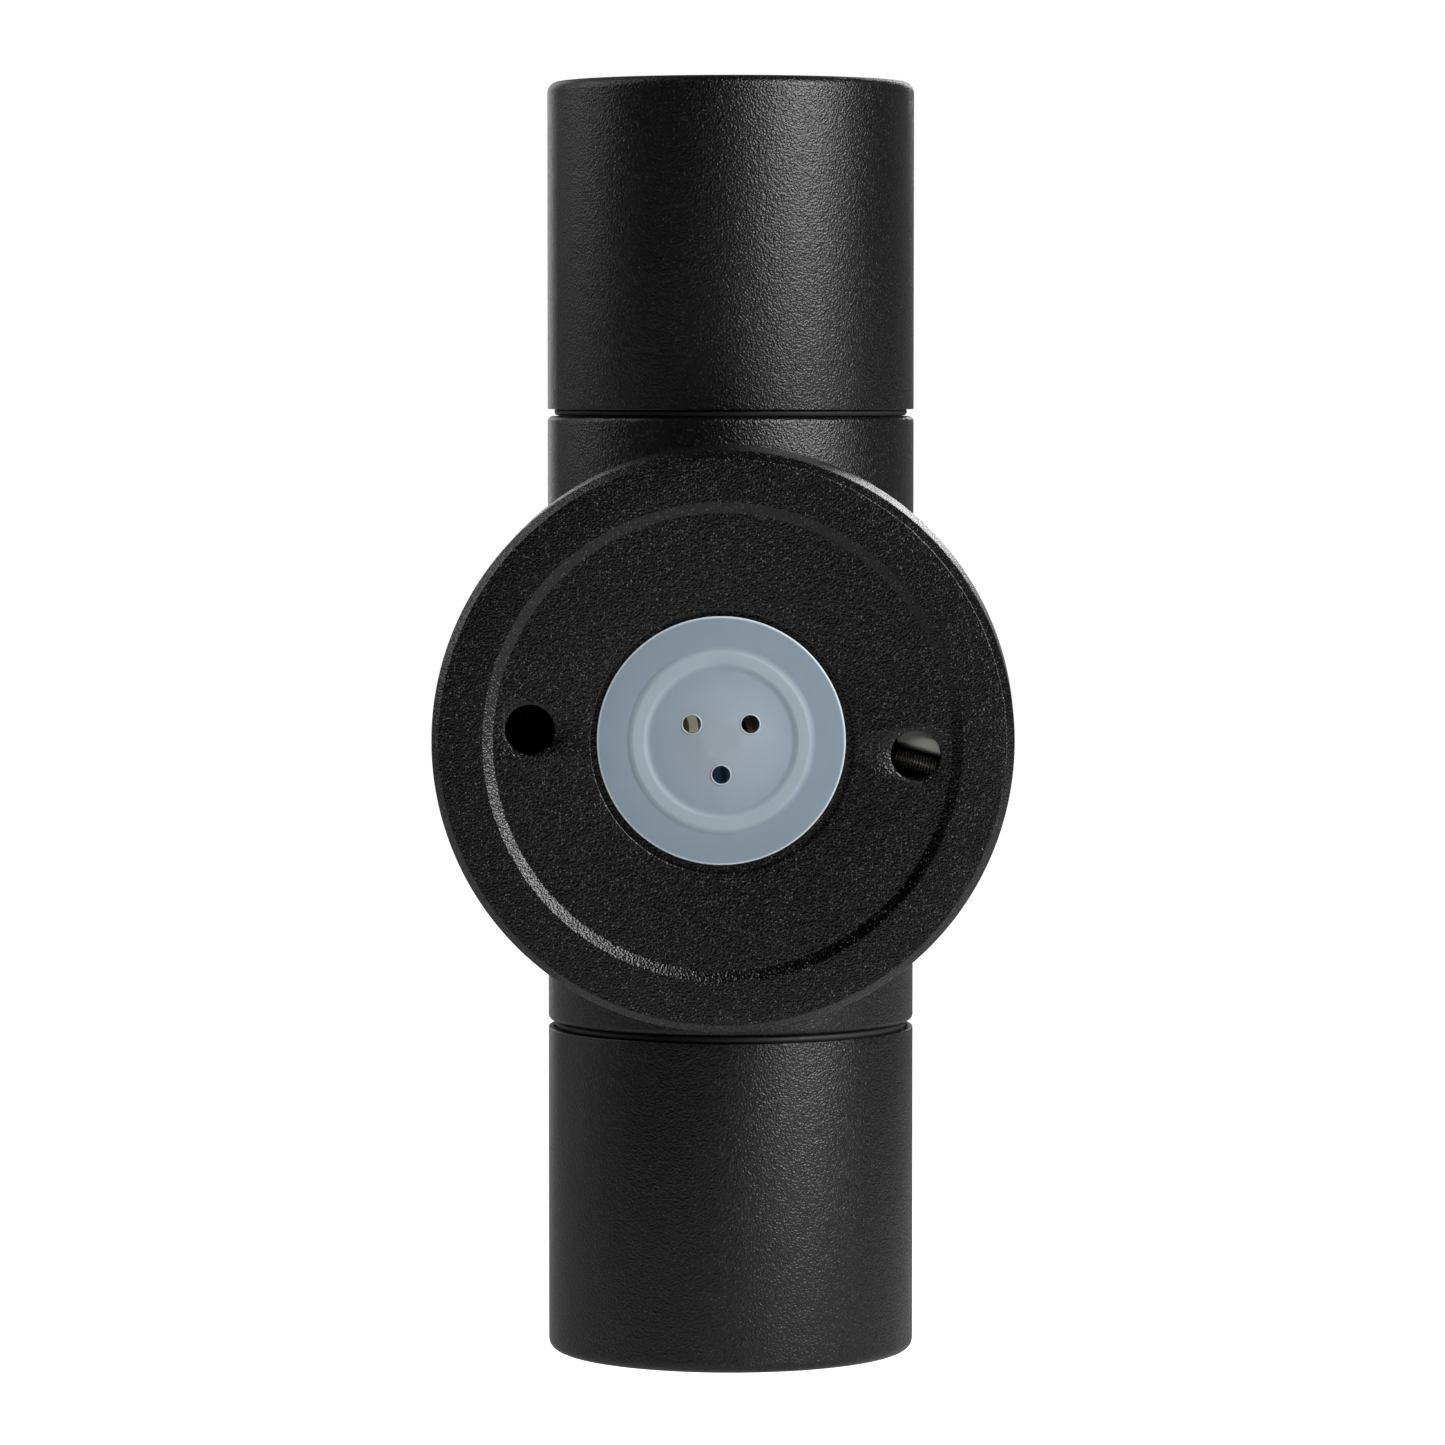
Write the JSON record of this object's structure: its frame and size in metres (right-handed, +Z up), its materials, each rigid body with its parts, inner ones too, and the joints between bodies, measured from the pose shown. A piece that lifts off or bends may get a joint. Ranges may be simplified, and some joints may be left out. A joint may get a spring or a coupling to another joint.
{
  "type": "up and down wall light",
  "caption": "Cylindrical up-and-down outdoor wall light on a round wall canopy, with screw-off end caps over twist-lock reflector lamps.",
  "frame": {"origin": "centre of the plane that rests on the wall, at the middle of the cable entry", "axes": "+Z up along the light's cylinder, +Y into the wall, so the light stands out along -Y and +X is to the right as seen from the room"},
  "size_m": [0.0954, 0.1059, 0.2186],
  "materials": {
    "black_coat": "fine textured powder coat",
    "silicone": "milky translucent silicone",
    "black_rubber": "matt",
    "zinc": "bright zinc plate",
    "brass": "plain",
    "ceramic": "unglazed",
    "clear_glass": "polished",
    "lamp_shell": "satin",
    "lamp_lens": "lightly frosted",
    "block_plastic": "natural polyamide",
    "brown_wire": "satin insulation",
    "blue_wire": "satin insulation",
    "green_yellow_wire": "satin insulation"
  },
  "bodies": {
    "wall_mount": {"wall_plate": "black_coat", "cable_grommet": "silicone", "canopy_seal": "black_rubber"},
    "lamp_body": {"canopy": "black_coat", "lock_screw_bracket": "zinc", "lock_bracket_screw": "zinc", "neck_gasket": "black_rubber", "neck": "black_coat", "threaded_nipple": "zinc", "canopy_washer": "zinc", "canopy_nut": "zinc", "tube_washer": "zinc", "tube_nut": "zinc", "body_tube": "black_coat", "upper_cap_seal": "black_rubber", "upper_holder_bracket": "zinc", "upper_bracket_screw_1": "zinc", "upper_bracket_screw_2": "zinc", "upper_lampholder": "ceramic", "lower_cap_seal": "black_rubber", "lower_holder_bracket": "zinc", "lower_bracket_screw_1": "zinc", "lower_bracket_screw_2": "zinc", "lower_lampholder": "ceramic", "terminal_block": "block_plastic", "terminal_block_screw": "zinc", "live_clamp": "brass", "neutral_clamp": "brass", "earth_clamp": "brass", "live_clamp_screw_1": "zinc", "live_clamp_screw_2": "zinc", "neutral_clamp_screw_1": "zinc", "neutral_clamp_screw_2": "zinc", "earth_clamp_screw_1": "zinc", "earth_clamp_screw_2": "zinc", "earth_lug": "brass", "earth_screw": "brass", "earth_wire": "green_yellow_wire", "upper_live_wire": "brown_wire", "upper_neutral_wire": "blue_wire", "lower_live_wire": "brown_wire", "lower_neutral_wire": "blue_wire"},
    "lock_screw": {"lock_screw": "zinc"},
    "upper_glass_pack": {"upper_glass": "clear_glass", "upper_glass_gasket": "silicone", "upper_retaining_ring": "zinc"},
    "upper_cap": {"upper_cap": "black_coat"},
    "upper_lamp": {"upper_lamp_shell": "lamp_shell", "upper_lamp_lens": "lamp_lens", "upper_lamp_pin_1": "brass", "upper_lamp_pin_2": "brass"},
    "lower_glass_pack": {"lower_glass": "clear_glass", "lower_glass_gasket": "silicone", "lower_retaining_ring": "zinc"},
    "lower_cap": {"lower_cap": "black_coat"},
    "lower_lamp": {"lower_lamp_shell": "lamp_shell", "lower_lamp_lens": "lamp_lens", "lower_lamp_pin_1": "brass", "lower_lamp_pin_2": "brass"}
  },
  "joints": [
    {"name": "canopy_pull", "type": "slide", "parent": "wall_mount", "child": "lamp_body", "axis": [0, -1, 0], "range_m": [0, 0.03]},
    {"name": "lock_screw_turn", "type": "hinge", "parent": "lamp_body", "child": "lock_screw", "pos_m": [-0.0314, -0.0115, -0.00385], "axis": [-0.9613, 0, -0.2756], "range_deg": [0, 1440]},
    {"name": "upper_cap_lift", "type": "slide", "parent": "lamp_body", "child": "upper_glass_pack", "axis": [0, 0, 1], "range_m": [0, 0.0101]},
    {"name": "upper_cap_turn", "type": "hinge", "parent": "upper_glass_pack", "child": "upper_cap", "pos_m": [0, -0.0744, 0.08], "axis": [0, 0, 1], "range_deg": [0, 1800]},
    {"name": "upper_lamp_twist", "type": "hinge", "parent": "lamp_body", "child": "upper_lamp", "pos_m": [0, -0.0744, 0.048], "axis": [0, 0, 1], "range_deg": [0, 25]},
    {"name": "lower_cap_lift", "type": "slide", "parent": "lamp_body", "child": "lower_glass_pack", "axis": [0, 0, -1], "range_m": [0, 0.0101]},
    {"name": "lower_cap_turn", "type": "hinge", "parent": "lower_glass_pack", "child": "lower_cap", "pos_m": [0, -0.0744, -0.08], "axis": [0, 0, -1], "range_deg": [0, 1800]},
    {"name": "lower_lamp_twist", "type": "hinge", "parent": "lamp_body", "child": "lower_lamp", "pos_m": [0, -0.0744, -0.048], "axis": [0, 0, -1], "range_deg": [0, 25]}
  ],
  "couplings": [
    {"joint": "upper_cap_lift", "follows": "upper_cap_turn", "m_per_rad": 0.00031831},
    {"joint": "lower_cap_lift", "follows": "lower_cap_turn", "m_per_rad": 0.00031831}
  ]
}
